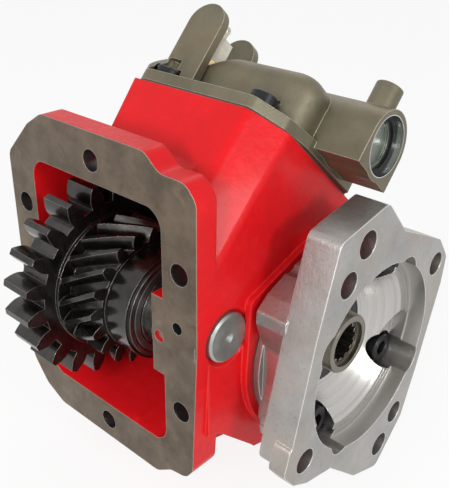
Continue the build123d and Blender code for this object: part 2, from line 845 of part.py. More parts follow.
def make_cover():
    plate = extrude(plate_outline(), plate_thickness)
    profile = [
        (body_front_u, gasket),
        (body_front_u, body_top_h),
        (body_back_u, body_top_h),
        (body_foot_u, plate_thickness),
        (body_foot_u, gasket),
    ]
    body = cover_profile(profile, body_left, body_end_x)
    end_edges = body.edges().filter_by(Axis.Z).filter_by_position(Axis.X, body_end_x - 1, body_end_x + 1)
    front_edge = end_edges.sort_by(Axis.Y)[0]
    body = fillet(front_edge, body_end_round)
    top_edge = body.edges().filter_by(Axis.X).group_by(Axis.Z)[-1].sort_by(Axis.Y)[0]
    body = fillet(top_edge, body_round)
    low = [
        (body_left - 1, body_low_h),
        (body_ramp_start, body_low_h),
        (body_ramp_end, body_top_h + 1),
        (body_left - 1, body_top_h + 1),
    ]
    wedge = make_face(Polyline(*low, close=True))
    body -= Plane.XZ.location * extrude(wedge, 80, both=True)
    barrel_r = cylinder_bore_r + cylinder_wall
    body += cover_bar(cylinder_barrel_start, cylinder_end, rod_u, rod_h, barrel_r)
    block = slab(rod_u - barrel_r, rod_u + barrel_r, 40, cylinder_end, cylinder_foot, rod_h)
    body += block

    ear_left = ear_x - ear_width / 2
    for u in (front_ear_u, back_ear_u):
        ear = Plane.XZ.location * (
            Pos(ear_x, ear_top_h - ear_width / 2) * Circle(ear_width / 2)
            + Pos(ear_x, (ear_top_h - ear_width / 2) / 2) * Rectangle(ear_width, ear_top_h - ear_width / 2)
        )
        body += Pos(0, u + ear_thickness, 0) * extrude(ear, ear_thickness)
    # Wall that flares from the front ear round the back of the screw pocket
    flare_side = [
        (plate_front, gasket),
        (plate_front, plate_thickness),
        (front_ear_u + ear_thickness, flare_top_h),
        (body_front_u + ear_thickness, flare_top_h),
        (body_front_u + ear_thickness, gasket),
    ]
    flare = Pos(cover_screw_left, cover_screw_front, gasket) * Cylinder(
        plate_corner_r, flare_top_h, align=(Align.CENTER, Align.CENTER, Align.MIN)
    )
    flare &= cover_profile(flare_side, plate_left - 1, ear_left + 1)
    cover = plate + body + flare
    cover -= slab(plate_front - 1, plate_back + 1, plate_left - 30, plate_right + 40, -30, gasket)
    port = Pos(port_x, rod_u, rod_h) * Cylinder(
        port_r, port_top_h - rod_h, align=(Align.CENTER, Align.CENTER, Align.MIN)
    )
    cover += port

    for x, u in cover_screw_centres():
        seat = Pos(x, u, cover_screw_seat) * Cylinder(
            screw_notch_r, cover_head_height + 1.5, align=(Align.CENTER, Align.CENTER, Align.MIN)
        )
        hole = Pos(x, u, -1) * Cylinder(
            cover_screw_r + 0.4, 20, align=(Align.CENTER, Align.CENTER, Align.MIN)
        )
        cover -= seat
        cover -= hole

    # Room for the fork and bores for the rod, piston and cap
    hub_room = fork_hub_r + 1.2
    cover -= cover_bar(window_left + 2, window_right, rod_u, rod_h, hub_room)
    throat = [
        (rod_u - hub_room, 0),
        (rod_u - hub_room, rod_h),
        (rod_u + hub_room, rod_h),
        (window_back - 4, gasket + 2),
        (window_back - 4, 0),
    ]
    cover -= cover_profile(throat, window_left + 2, window_right)
    rod_bore_end = rod_tail - shift_travel - rod_end_gap
    cover -= cover_bar(rod_bore_end, cylinder_start + 1, rod_u, rod_h, rod_r + running_gap)
    cover -= cover_bar(cylinder_start, cylinder_end + 1, rod_u, rod_h, cylinder_bore_r)
    groove_x = cap_x + cap_thickness
    cover -= cover_bar(groove_x, groove_x + ring_thickness, rod_u, rod_h, cylinder_bore_r + ring_depth)
    cover -= Pos(port_x, rod_u, rod_h) * Cylinder(
        port_bore_r, port_top_h, align=(Align.CENTER, Align.CENTER, Align.MIN)
    )
    cover -= Pos(switch_x, switch_u, body_low_h - switch_thread_depth) * Cylinder(
        switch_thread_r, switch_thread_depth + 1, align=(Align.CENTER, Align.CENTER, Align.MIN)
    )
    return cover_at * cover


def pump_outline():
    """Corners of the pump face about the output axis, (y, z)."""
    return [
        (-41, 79),
        (-4, 86),
        (15, 65.5),
        (38, 55),
        (56, 46),
        (67, 32),
        (65.5, 16),
        (51, -34),
        (41, -63),
        (18, -86),
        (-6, -76.5),
        (-31, -52.5),
        (-59, -41),
        (-68.5, -30),
        (-66, -17),
        (-53.5, 36.5),
    ]


def make_pump_flange():
    y, z = output_y, output_z
    face = make_face(Polyline(*pump_outline(), close=True))
    face = fillet(face.vertices(), 5.0)
    plate_back_x = pump_face_x - pump_plate
    flange = along_x(plate_back_x, y, z) * extrude(face, pump_plate)
    lobe = [(-6, -76.5), (-31, -53.2), (-52, -48), (-63.5, -41.5), (-71.2, -31), (-67.4, -17), (-40, -17)]
    lobe = make_face(Polyline(*lobe, close=True))
    lobe = fillet(lobe.vertices().filter_by_position(Axis.X, -72, -45), 4.0)
    flange += along_x(pump_face_x - pump_front_lobe, y, z) * extrude(lobe, pump_front_lobe)
    lower = [
        (-54.5, 31),
        (-54.5, 37.5),
        (-47, 43.5),
        (-34, 49),
        (-8, 56),
        (26, 48),
        (50, 24),
        (52, -20),
        (38, -52),
        (14, -66),
        (-10, -64),
        (-47, -40),
        (-50, -28),
        (-49, -14),
        (-49, 16),
    ]
    lower = make_face(Polyline(*lower, close=True))
    lower = fillet(lower.vertices(), 2.5)
    flange += along_x(pump_body_start, y, z) * extrude(lower, plate_back_x - pump_body_start + 1)
    flange += round_bar(pad_x + gasket, pump_body_start + 1, y, z, pump_tail_r)
    flange += ring(pad_x - 2.4, pad_x + gasket + 1, y, z, large_outer_r, large_outer_r - 5)
    bowl = [
        (seal_x + seal_width, 0),
        (seal_x + seal_width, 25),
        (82, 31),
        (92, 40.5),
        (95.5, 44),
        (95.5, 47),
        (pump_face_x - pilot_depth, 47),
        (pump_face_x - pilot_depth, pilot_r),
        (pump_face_x + 1, pilot_r),
        (pump_face_x + 1, 0),
    ]
    flange -= turned(bowl, 0, y, z)
    flange -= round_bar(seal_x, seal_x + seal_width + 1, y, z, seal_r)
    flange -= round_bar(pad_x - 3, seal_x + 1, y, z, large_bore_r + clear_gap)
    for cy, cz in flange_screw_centres():
        flange -= round_bar(flange_screw_seat, pump_face_x + 1, cy, cz, flange_pocket_r)
        flange -= round_bar(pad_x - 3, flange_screw_seat + 1, cy, cz, flange_screw_r + 0.5)
    length = pilot_r - recess_inner_r + 10
    recess = Pos(recess_inner_r + length / 2, recess_width / 2) * Rectangle(length, recess_width)
    recess = Rot(0, 0, pump_clock - 45) * recess
    recess &= Circle(recess_outer_r)
    flange -= along_x(recess_floor, y, z) * extrude(recess, 30)
    hole_y, hole_z = recess_hole
    flange -= round_bar(
        recess_floor - recess_hole_depth, recess_floor + 1, y + hole_y, z + hole_z, recess_hole_r
    )
    for k in range(4):
        dy, dz = polar(four_bolt_pcd / 2, pump_clock + 15 + 90 * k)
        flange -= round_bar(plate_back_x - 20, pump_face_x + 1, y + dy, z + dz, four_bolt_r)
    for k in range(2):
        dy, dz = polar(two_bolt_spread / 2, pump_clock + 90 + 180 * k)
        flange -= round_bar(plate_back_x - 20, pump_face_x + 1, y + dy, z + dz, two_bolt_r)
    return flange


def make_spring():
    free = piston_x - cylinder_start - 2 * spring_wire_r - 0.2
    coil = Helix(pitch=free / spring_turns, height=free, radius=spring_coil_r)
    section = Plane(origin=coil @ 0, z_dir=coil % 0) * RegularPolygon(spring_wire_r, 8)
    wire = sweep(section, path=coil, is_frenet=True)
    x0 = cylinder_start + spring_wire_r + 0.1
    return along_x(x0, rod_y, rod_z) * wire


def snap_ring(x, y, z, outer_r):
    blade = Circle(outer_r) - Circle(outer_r - 3.2)
    blade -= Pos(0, outer_r) * Rectangle(5, 12)
    lugs = Pos(-4.5, outer_r - 4.6) * Circle(2.2) + Pos(4.5, outer_r - 4.6) * Circle(2.2)
    holes = Pos(-4.5, outer_r - 4.6) * Circle(0.9) + Pos(4.5, outer_r - 4.6) * Circle(0.9)
    return along_x(x, y, z) * extrude(blade + lugs - holes, ring_thickness)


def make_switch():
    """Brass body, nylon insulator and ring terminal, in the cover's frame."""
    low = Align.MIN
    up = (Align.CENTER, Align.CENTER, low)
    body = extrude(hexagon(switch_hex), switch_body_h)
    body += Cylinder(switch_thread_r, switch_thread_depth - 1, align=(Align.CENTER, Align.CENTER, Align.MAX))
    nylon = Pos(0, 0, switch_body_h) * Box(nylon_size, nylon_size, nylon_h, align=up)
    nylon = chamfer(nylon.edges().filter_by(Axis.Z), 1.5)
    post_top = switch_body_h + nylon_h
    terminal = Pos(0, 0, post_top) * Box(1.2, 3.0, terminal_h - terminal_r, align=up)
    eye = Pos(0, 0, post_top + terminal_h - terminal_r) * Rot(0, 90, 0) * Cylinder(terminal_r, 1.2)
    hole = Pos(0, 0, post_top + terminal_h - terminal_r) * Rot(0, 90, 0) * Cylinder(terminal_r - 1.1, 3)
    terminal = terminal + eye - hole
    place = cover_at * Pos(switch_x, switch_u, body_low_h)
    return place * body, place * nylon, place * terminal


def make_parts():
    parts = {}
    parts["housing"] = make_housing()

    # Idler: shaft, cluster gear, two tapered bearings, spacers, seal ring, lock pin
    y, z = idler_y, idler_z
    shaft = round_bar(idler_shaft_tail, idler_shaft_end, y, z, small_bore_r)
    shaft = chamfer(shaft.edges().group_by(Axis.X)[-1], 1.0)
    shaft -= cone_bar(idler_shaft_end - 3, idler_shaft_end + 0.1, y, z, 0.3, 2.6)
    shaft -= ring(seal_ring_x, seal_ring_x + seal_ring_section, y, z, small_bore_r + 1, small_bore_r - 1.8)
    pin = Cylinder(lock_pin_r, lock_pin_length, align=(Align.CENTER, Align.CENTER, Align.MIN))
    pin = Pos(lock_pin_x, 2, z) * Rot(-90, 0, 0) * pin
    shaft -= pin
    parts["idler_shaft"] = shaft
    parts["idler_lock_pin"] = pin
    parts["idler_seal_ring"] = ring(
        seal_ring_x, seal_ring_x + seal_ring_section, y, z, small_bore_r, small_bore_r - 1.8
    )
    parts["cluster_gear"] = make_cluster()
    front = make_bearing(small_bore_r, small_outer_r, small_width, False, idler_front_bearing, y, z)
    rear = make_bearing(small_bore_r, small_outer_r, small_width, True, idler_rear_bearing, y, z)
    for side, pieces in (("front", front), ("rear", rear)):
        for name, piece in zip(("cup", "cone", "rollers", "cage"), pieces):
            parts[f"idler_{side}_{name}"] = piece
    cone_face = idler_front_bearing + small_width
    parts["idler_front_spacer"] = ring(cone_face, idler_boss_face, y, z, small_bore_r + 5, small_bore_r)
    cone_face = idler_rear_bearing - small_width
    parts["idler_rear_shim"] = ring(idler_rear_boss_face, cone_face, y, z, small_bore_r + 5, small_bore_r)

    # Output: shaft, gear, collar, bearings, seal and rear cap
    y, z = output_y, output_z
    parts["output_shaft"] = make_output_shaft()
    parts["output_gear"] = make_output_gear()
    bush_r = journal_r + gear_bush_wall
    parts["output_gear_bush"] = ring(
        -gear_half_width, spline_start - 0.2, y, z, bush_r, journal_r + running_gap
    )
    washer_x = journal_start - washer_thickness
    parts["thrust_washer"] = ring(washer_x, journal_start, y, z, washer_r, small_bore_r)
    rear_x = shaft_tail + 1 + small_width
    parts["rear_spacer"] = ring(rear_x, washer_x, y, z, spacer_r, small_bore_r)
    parts["clutch_collar"] = make_collar()
    front_x = front_journal_x + large_width + 0.6
    front = make_bearing(large_bore_r, large_outer_r, large_width, True, front_x, y, z)
    rear_start = shaft_tail + 1
    rear = make_bearing(small_bore_r, small_outer_r, small_width, False, rear_start, y, z)
    for side, pieces in (("front", front), ("rear", rear)):
        for name, piece in zip(("cup", "cone", "rollers", "cage"), pieces):
            parts[f"output_{side}_{name}"] = piece
    seal = ring(seal_x, seal_x + seal_width, y, z, seal_r, large_bore_r + running_gap)
    seal -= ring(seal_x + 2, seal_x + seal_width - 1, y, z, seal_r - 1.5, large_bore_r + 2)
    parts["shaft_seal"] = seal
    cap_face = left_wall_x - 3
    cap_body = round_bar(cap_face - cap_flange_thickness, cap_face - 0.4, y, z, rear_boss_r)
    cap_body += ring(cap_face - 1, rear_start, y, z, small_outer_r, small_outer_r - 5)
    shim = ring(cap_face - 0.4, cap_face, y, z, rear_boss_r, small_outer_r)
    screws = []
    for k in range(4):
        dy, dz = polar(rear_cap_bolt_r, 45 + 90 * k)
        cap_body -= round_bar(cap_face - 20, cap_face + 1, y + dy, z + dz, rear_cap_screw_r + 0.3)
        shim -= round_bar(cap_face - 1, cap_face + 1, y + dy, z + dz, rear_cap_screw_r + 0.3)
        head = along_x(cap_face - cap_flange_thickness - 4, y + dy, z + dz) * extrude(hexagon(10), 4)
        shank = round_bar(cap_face - cap_flange_thickness - 1, cap_face + 12, y + dy, z + dz, rear_cap_screw_r)
        screws.append(head + shank)
    parts["rear_cap"] = cap_body
    parts["rear_cap_shim"] = shim
    parts["rear_cap_screws"] = Compound(children=screws)

    # Pump flange and what holds it
    parts["pump_flange"] = make_pump_flange()
    sheet = ring(pad_x, pad_x + gasket, y, z, pump_tail_r, large_outer_r)
    for cy, cz in flange_screw_centres():
        sheet -= round_bar(pad_x - 1, pad_x + 3, cy, cz, flange_screw_r + 0.5)
    parts["pump_flange_gasket"] = sheet
    length = flange_screw_seat - pad_x + flange_screw_depth - 1
    flange_screw = socket_screw(
        flange_screw_r, length, flange_head_r, flange_head_height, flange_socket
    )
    parts["pump_flange_screws"] = Compound(
        children=[
            along_x(flange_screw_seat, cy, cz) * flange_screw for cy, cz in flange_screw_centres()
        ]
    )

    # Shift cover and what is in it
    parts["shift_cover"] = make_cover()
    sheet = extrude(plate_outline(), gasket)
    sheet &= slab(plate_front, plate_back, upper_left_x, side_wall_x, -1, 3)
    sheet -= slab(window_front, window_back, window_left, window_right, -1, 3)
    for x, u in cover_screw_centres():
        sheet -= Pos(x, u, 0) * Cylinder(cover_screw_r + 0.4, 5)
    parts["cover_gasket"] = cover_at * sheet
    cover_screw = socket_screw(
        cover_screw_r, cover_screw_seat + 14, cover_head_r, cover_head_height, cover_socket
    )
    parts["cover_screws"] = Compound(
        children=[
            cover_at * Pos(x, u, cover_screw_seat) * cover_screw for x, u in cover_screw_centres()
        ]
    )
    y, z = rod_y, rod_z
    piston = round_bar(piston_x, piston_x + piston_length, y, z, cylinder_bore_r - running_gap)
    groove_x = piston_x + piston_length / 2 - 1.5
    piston -= ring(groove_x, groove_x + 3, y, z, cylinder_bore_r + 1, cylinder_bore_r - 2.5)
    rod_neck = rod_r - 2
    piston -= round_bar(piston_x - 1, piston_x + piston_length + 1, y, z, rod_neck)
    parts["piston"] = piston
    parts["piston_ring"] = ring(groove_x, groove_x + 3, y, z, cylinder_bore_r - running_gap, cylinder_bore_r - 2.5)
    rod = round_bar(rod_tail, piston_x, y, z, rod_r)
    nut_end = piston_x + piston_length + 4
    rod += round_bar(piston_x - 1, nut_end, y, z, rod_neck)
    parts["shift_rod"] = rod
    nut = along_x(piston_x + piston_length, y, z) * extrude(hexagon(13) - Circle(rod_neck), 4)
    parts["piston_nut"] = nut
    parts["return_spring"] = make_spring()
    fork = make_fork()
    fork_pin = Pos(fork_hub_end - 4, y, z) * Cylinder(2.0, 2 * fork_hub_r - 0.6)
    parts["shift_rod"] -= fork_pin
    parts["shift_fork"] = fork - fork_pin
    parts["fork_pin"] = fork_pin
    cap = round_bar(cap_x, cap_x + cap_thickness, y, z, cylinder_bore_r)
    cap -= round_bar(cap_x + cap_thickness - 1.2, cap_x + cap_thickness + 1, y, z, cylinder_bore_r - 4)
    groove_x = cap_x + 1
    cap -= ring(groove_x, groove_x + 2, y, z, cylinder_bore_r + 1, cylinder_bore_r - 1.6)
    parts["cylinder_cap"] = cap
    parts["cylinder_cap_ring"] = ring(groove_x, groove_x + 2, y, z, cylinder_bore_r, cylinder_bore_r - 1.6)
    parts["cylinder_snap_ring"] = snap_ring(
        cap_x + cap_thickness, y, z, cylinder_bore_r + ring_depth
    )
    switch, insulator, terminal = make_switch()
    parts["switch_body"] = switch
    parts["switch_insulator"] = insulator
    parts["switch_terminal"] = terminal
    return parts


if __name__ == "__main__":
    os.makedirs("parts", exist_ok=True)
    for name, piece in make_parts().items():
        export_step(piece, f"parts/{name}.step")
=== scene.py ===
"""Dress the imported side-mount power take off unit and set it on a studio floor."""

import math

import bmesh
import bpy
from bpy.props import FloatProperty, FloatVectorProperty, PointerProperty
from bpy.types import NodeSocket, Operator, Panel, PropertyGroup
from mathutils import Matrix, Vector


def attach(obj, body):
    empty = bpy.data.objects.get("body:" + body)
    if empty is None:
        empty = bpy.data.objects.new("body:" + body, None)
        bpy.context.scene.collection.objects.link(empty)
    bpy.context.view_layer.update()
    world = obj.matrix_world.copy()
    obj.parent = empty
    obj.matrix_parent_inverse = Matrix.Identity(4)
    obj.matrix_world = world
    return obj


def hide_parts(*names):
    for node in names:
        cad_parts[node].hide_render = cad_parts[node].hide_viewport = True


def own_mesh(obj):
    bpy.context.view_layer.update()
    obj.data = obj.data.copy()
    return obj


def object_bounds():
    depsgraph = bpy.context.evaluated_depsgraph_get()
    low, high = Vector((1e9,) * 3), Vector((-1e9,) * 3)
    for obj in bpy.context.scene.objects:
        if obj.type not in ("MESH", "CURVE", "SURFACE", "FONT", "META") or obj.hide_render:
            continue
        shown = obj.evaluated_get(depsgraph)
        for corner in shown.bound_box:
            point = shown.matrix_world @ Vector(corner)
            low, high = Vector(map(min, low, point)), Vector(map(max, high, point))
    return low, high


bl_info = {
    "name": "Power take off unit",
    "version": (1, 0, 0),
    "blender": (4, 5, 0),
    "location": "3D View > Sidebar > Power take off",
    "description": "Finishes for the castings, gears, bearings and switch of a side-mount power take off",
    "category": "Object",
}

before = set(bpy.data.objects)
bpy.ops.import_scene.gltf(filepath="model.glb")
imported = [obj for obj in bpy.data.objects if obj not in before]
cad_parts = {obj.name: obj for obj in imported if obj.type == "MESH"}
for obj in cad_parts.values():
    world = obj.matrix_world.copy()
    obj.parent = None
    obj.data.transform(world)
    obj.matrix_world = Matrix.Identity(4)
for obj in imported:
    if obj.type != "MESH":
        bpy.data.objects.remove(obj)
CAD_LOW, CAD_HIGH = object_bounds()

# Places and sizes are in metres, in the part's own frame

# The output shaft's line, along X, and where the pump flange is turned round it
OUTPUT_Y = 0.087374
OUTPUT_Z = -0.026
PUMP_FACE_X = 0.1065
TURNED_FROM_X = 0.0745
TURNED_RADIUS = 0.0509

# Nose of the output shaft in front of the seal
NOSE_START_X = 0.0795
NOSE_TIP_X = PUMP_FACE_X - 0.0163
NOSE_RADIUS = 0.0164
NOSE_SHOULDER = 0.0006
NOSE_TIP_STEP = 0.0006

# The shift cylinder's line, along X, with its bore and the return spring in it
ROD_Y = 0.09908
ROD_Z = 0.07926
CYLINDER_BORE = 0.0145
HONED_FROM_X = 0.060

# The mounting flange, with its holes and how far round them the bare metal reaches
MOUNT_FACE_Y = 0.0
FLANGE_BACK_Y = 0.012
SIDE_BOLT_X = 0.056
SIDE_BOLT_Z = 0.0373
END_BOLT_Z = 0.0746
BOLT_HOLE_REACH = 0.0061
DOWEL_X = 0.0542
DOWEL_Z = 0.009
DOWEL_HOLE_REACH = 0.0034

# The housing's left body, whose wall leans inwards below the shift cover
COVER_TILT = math.radians(42.0)
COVER_HEIGHT = 0.1055
LEAN_DEPTH = 0.045
UPPER_LEFT_X = -0.0205
LOWER_LEFT_X = -0.0150
LEFT_SWEEP_RADIUS = 0.041
LEFT_SWEEP_FROM = math.radians(-85.07)
LEFT_SWEEP_TO = math.radians(50.52)

# The output gear's room, and the wall and sleeve that close it
GEAR_ROOM_X = -0.0202
GEAR_ROOM_RADIUS = 0.04555
ROOM_WALL = 0.0018
ROOM_WALL_LAP = 0.0005
ROOM_SLEEVE = 0.003
ROOM_SLEEVE_LAP = 0.0004
ROOM_WALL_INSET = 0.00005
ROOM_WALL_STEPS = 120

# How far the limit of a finish lies from the face or bore that it follows
FACE_REACH = 0.00012
EDGE_REACH = 0.0002
BORE_REACH = 0.0004

# Tints that the finishes mix in, among them painted highlights, painted shade and a painted reflection
PAINT_SPECK = (0.36, 0.006, 0.007)
PAINT_POOL = (0.86, 0.022, 0.018)
# Partly worn paint, partly a painted highlight along the housing's edges
PAINT_EDGE_WEAR_AND_HIGHLIGHT = (0.88, 0.13, 0.10)
# Bare drilled metal, darkened as painted shade inside the holes
HOLE_WALL_PAINTED_SHADE = (0.15, 0.15, 0.15)
IRON_OIL = (0.070, 0.044, 0.030)
# Partly worn iron, partly a painted highlight along edges and hole chamfers
IRON_EDGE_WEAR_AND_HIGHLIGHT = (0.50, 0.46, 0.41)
COVER_STAIN = (0.220, 0.160, 0.092)
COVER_DIRT = (0.090, 0.068, 0.042)
# Partly worn metal, partly a painted highlight along the cover's edges
COVER_EDGE_WEAR_AND_HIGHLIGHT = (0.52, 0.47, 0.38)
HONED_BORE = (0.60, 0.61, 0.60)
# Partly a brownish tint, partly a painted warm reflection of the red housing
FLANGE_TINT_AND_REFLECTION = (0.42, 0.345, 0.285)
# Partly worn metal, partly a painted highlight along the flange's edges
FLANGE_EDGE_WEAR_AND_HIGHLIGHT = (0.86, 0.85, 0.82)
# Partly worn steel, partly a painted highlight along the gear teeth's edges
GEAR_EDGE_WEAR_AND_HIGHLIGHT = (0.30, 0.28, 0.25)
WHITE = (1.0, 1.0, 1.0)

# Each lamp's name, place, width, share of the lamp power, and colour
LAMPS = (
    ("main_lamp", (-0.05, -0.85, 0.55), 0.28, 1.0, (1.0, 0.985, 0.96)),
    ("side_lamp", (0.85, -0.10, 0.35), 0.22, 1.0, WHITE),
    ("front_lamp", (0.30, -0.62, 0.22), 0.20, 0.85, WHITE),
    ("back_lamp", (-0.35, 0.75, 0.65), 0.40, 0.25, WHITE),
)

MERGE_DISTANCE = 1e-6
FLOOR_RADIUS = 3.0
SENSOR_MM = 36.0


class CastingColours(PropertyGroup):
    """Paint and bare metal of the castings."""

    paint: FloatVectorProperty(
        name="Paint", description="Colour of the housing's paint",
        subtype="COLOR", size=3, min=0.0, max=1.0, default=(0.70, 0.0080, 0.0120),
    )
    paint_roughness: FloatProperty(
        name="Paint roughness", description="Gloss of the housing's paint",
        subtype="FACTOR", min=0.0, max=1.0, default=0.36,
    )
    machined_iron: FloatVectorProperty(
        name="Machined iron", description="Colour of the bare mounting face",
        subtype="COLOR", size=3, min=0.0, max=1.0, default=(0.150, 0.114, 0.082),
    )
    cover_metal: FloatVectorProperty(
        name="Cover metal", description="Colour of the bare shift cover",
        subtype="COLOR", size=3, min=0.0, max=1.0, default=(0.165, 0.148, 0.100),
    )
    flange_metal: FloatVectorProperty(
        name="Flange metal", description="Colour of the pump flange",
        subtype="COLOR", size=3, min=0.0, max=1.0, default=(0.37, 0.360, 0.345),
    )
    cast_grain: FloatProperty(
        name="Cast grain", description="Height of the sand-cast grain",
        subtype="DISTANCE", unit="LENGTH", min=0.0, max=0.002, default=0.0004, precision=5,
    )


class StudioSettings(PropertyGroup):
    """Camera, lamps and floor."""

    camera_place: FloatVectorProperty(
        name="Camera", description="Where the camera stands",
        subtype="XYZ", unit="LENGTH", size=3, default=(0.25216, -0.19066, 0.19341),
    )
    camera_forward: FloatVectorProperty(
        name="Looks along", description="Direction that the camera looks along",
        subtype="XYZ", size=3, default=(-0.5923, 0.6629, -0.4580),
    )
    camera_roll: FloatProperty(
        name="Roll", description="Turn of the camera about its own axis",
        subtype="ANGLE", unit="ROTATION", default=math.radians(0.954),
    )
    lens: FloatProperty(
        name="Lens", description="Focal length in millimetres on a 36 mm sensor",
        min=10.0, max=300.0, default=54.16,
    )
    floor_colour: FloatVectorProperty(
        name="Floor", description="Colour of the floor",
        subtype="COLOR", size=3, min=0.0, max=1.0, default=(0.90, 0.90, 0.90),
    )
    floor_glow: FloatProperty(
        name="Floor glow", description="Share of plain white in the floor that the camera sees",
        subtype="FACTOR", min=0.0, max=1.0, default=0.86,
    )
    sky_light: FloatProperty(
        name="Sky light", description="Strength of the even light from all round",
        min=0.0, max=5.0, default=0.60,
    )
    lamp_power: FloatProperty(
        name="Lamp power", description="Power of the main lamp in watts",
        min=0.0, max=100.0, default=2.2,
    )


def start_material(name):
    """A material with no nodes in it yet, and its node tree."""
    material = bpy.data.materials.new(name)
    material.use_nodes = True
    material.node_tree.nodes.clear()
    return material, material.node_tree


def add(tree, kind, settings=None, inputs=None):
    """A node with its settings, and its sockets set or linked."""
    node = tree.nodes.new(kind)
    for key, value in (settings or {}).items():
        setattr(node, key, value)
    for key, value in (inputs or {}).items():
        if isinstance(value, NodeSocket):
            tree.links.new(value, node.inputs[key])
        else:
            node.inputs[key].default_value = value
    return node


def show(tree, shader, kind="ShaderNodeOutputMaterial"):
    """Send a shader to the output of its material, or of the world."""
    add(tree, kind, None, {"Surface": shader})


def object_place(tree):
    return add(tree, "ShaderNodeTexCoord").outputs["Object"]


def split(tree, place):
    """The X, Y and Z of a place."""
    return add(tree, "ShaderNodeSeparateXYZ", None, {"Vector": place}).outputs[:]


def work_out(tree, operation, first, second=0.0, clamp=False):
    settings = {"operation": operation, "use_clamp": clamp}
    return add(tree, "ShaderNodeMath", settings, {0: first, 1: second}).outputs["Value"]


def times(tree, first, second):
    return work_out(tree, "MULTIPLY", first, second)


def plus(tree, first, second):
    return work_out(tree, "ADD", first, second)


def below(tree, value, limit):
    return work_out(tree, "LESS_THAN", value, limit)


def above(tree, value, limit):
    return work_out(tree, "GREATER_THAN", value, limit)


def off_centre(tree, first, second, centre):
    """Distance of two coordinates from a centre given by the same two."""
    squares = []
    for coordinate, middle in zip((first, second), centre):
        gap = work_out(tree, "SUBTRACT", coordinate, middle)
        squares.append(times(tree, gap, gap))
    return work_out(tree, "SQRT", plus(tree, *squares))


def window(tree, value, low, high, to_low=0.0, to_high=1.0):
    """Map value from low..high on to to_low..to_high, held at both ends."""
    inputs = {
        "Value": value, "From Min": low, "From Max": high, "To Min": to_low, "To Max": to_high,
    }
    return add(tree, "ShaderNodeMapRange", {"clamp": True}, inputs).outputs["Result"]


def noise(tree, place, scale, detail=3.0, roughness=0.6, distortion=0.0):
    inputs = {
        "Vector": place, "Scale": scale, "Detail": detail,
        "Roughness": roughness, "Distortion": distortion,
    }
    return add(tree, "ShaderNodeTexNoise", None, inputs).outputs["Fac"]


def rings(tree, distance, scale, detail):
    """Turning marks: a noise that only changes with the distance."""
    inputs = {"W": distance, "Scale": scale, "Detail": detail, "Roughness": 0.6}
    return add(tree, "ShaderNodeTexNoise", {"noise_dimensions": "1D"}, inputs).outputs["Fac"]


def shade(colour, factor):
    return tuple(min(1.0, channel * factor) for channel in colour)


def mix_colour(tree, share, first, second):
    """The second colour over the first by a share, each a colour or a socket."""
    node = add(tree, "ShaderNodeMix", {"data_type": "RGBA", "clamp_factor": True})
    inputs = {socket.identifier: socket for socket in node.inputs}
    tree.links.new(share, inputs["Factor_Float"])
    for identifier, value in (("A_Color", first), ("B_Color", second)):
        if isinstance(value, NodeSocket):
            tree.links.new(value, inputs[identifier])
        else:
            inputs[identifier].default_value = (*value, 1.0)
    return next(socket for socket in node.outputs if socket.identifier == "Result_Color")


def mottle(tree, cloud, colour, dark, light, low=0.3, high=0.7):
    """Vary a colour between two of its shades by a noise."""
    share = window(tree, cloud, low, high)
    return mix_colour(tree, share, shade(colour, dark), shade(colour, light))


def patch(tree, tone, cloud, low, high, most, colour):
    """Lay a colour over a tone where a noise rises from low to high."""
    return mix_colour(tree, window(tree, cloud, low, high, 0.0, most), tone, colour)


def edge_wear_and_highlight(tree, radius):
    """1 along sharp edges, where the surface is worn bright and where a painted highlight is laid."""
    sharpness = 9.0
    around = add(tree, "ShaderNodeBevel", {"samples": 6}, {"Radius": radius}).outputs["Normal"]
    flat = add(tree, "ShaderNodeNewGeometry").outputs["Normal"]
    alike = add(tree, "ShaderNodeVectorMath", {"operation": "DOT_PRODUCT"}, {0: around, 1: flat})
    low = 1.0 - 1.0 / sharpness
    high = 1.0 - 0.25 / sharpness
    return window(tree, alike.outputs["Value"], low, high, 1.0, 0.0)


def bump(tree, height, distance, strength, edge=0.0):
    """Fine relief, on a surface whose edges are rounded to a radius first."""
    inputs = {"Height": height, "Distance": distance, "Strength": strength}
    if edge:
        rounded = add(tree, "ShaderNodeBevel", {"samples": 4}, {"Radius": edge})
        inputs["Normal"] = rounded.outputs["Normal"]
    return add(tree, "ShaderNodeBump", None, inputs).outputs["Normal"]


def principled(tree, colour, metallic, roughness, normal, extra=None):
    inputs = {
        "Base Color": colour if isinstance(colour, NodeSocket) else (*colour, 1.0),
        "Metallic": metallic, "Roughness": roughness, "Normal": normal, **(extra or {}),
    }
    return add(tree, "ShaderNodeBsdfPrincipled", None, inputs).outputs["BSDF"]


def mix_shaders(tree, share, first, second):
    return add(tree, "ShaderNodeMixShader", None, {0: share, 1: first, 2: second}).outputs[0]


def flange_holes(tree, place):
    """1 in line with the mounting flange's six bolt holes and its dowel hole."""
    x, _, z = split(tree, place)
    wide = work_out(tree, "ABSOLUTE", x)
    high = work_out(tree, "ABSOLUTE", z)
    inside = below(tree, off_centre(tree, x, z, (DOWEL_X, DOWEL_Z)), DOWEL_HOLE_REACH)
    for centre in ((SIDE_BOLT_X, SIDE_BOLT_Z), (0.0, END_BOLT_Z)):
        hole = below(tree, off_centre(tree, wide, high, centre), BOLT_HOLE_REACH)
        inside = work_out(tree, "MAXIMUM", inside, hole)
    return inside


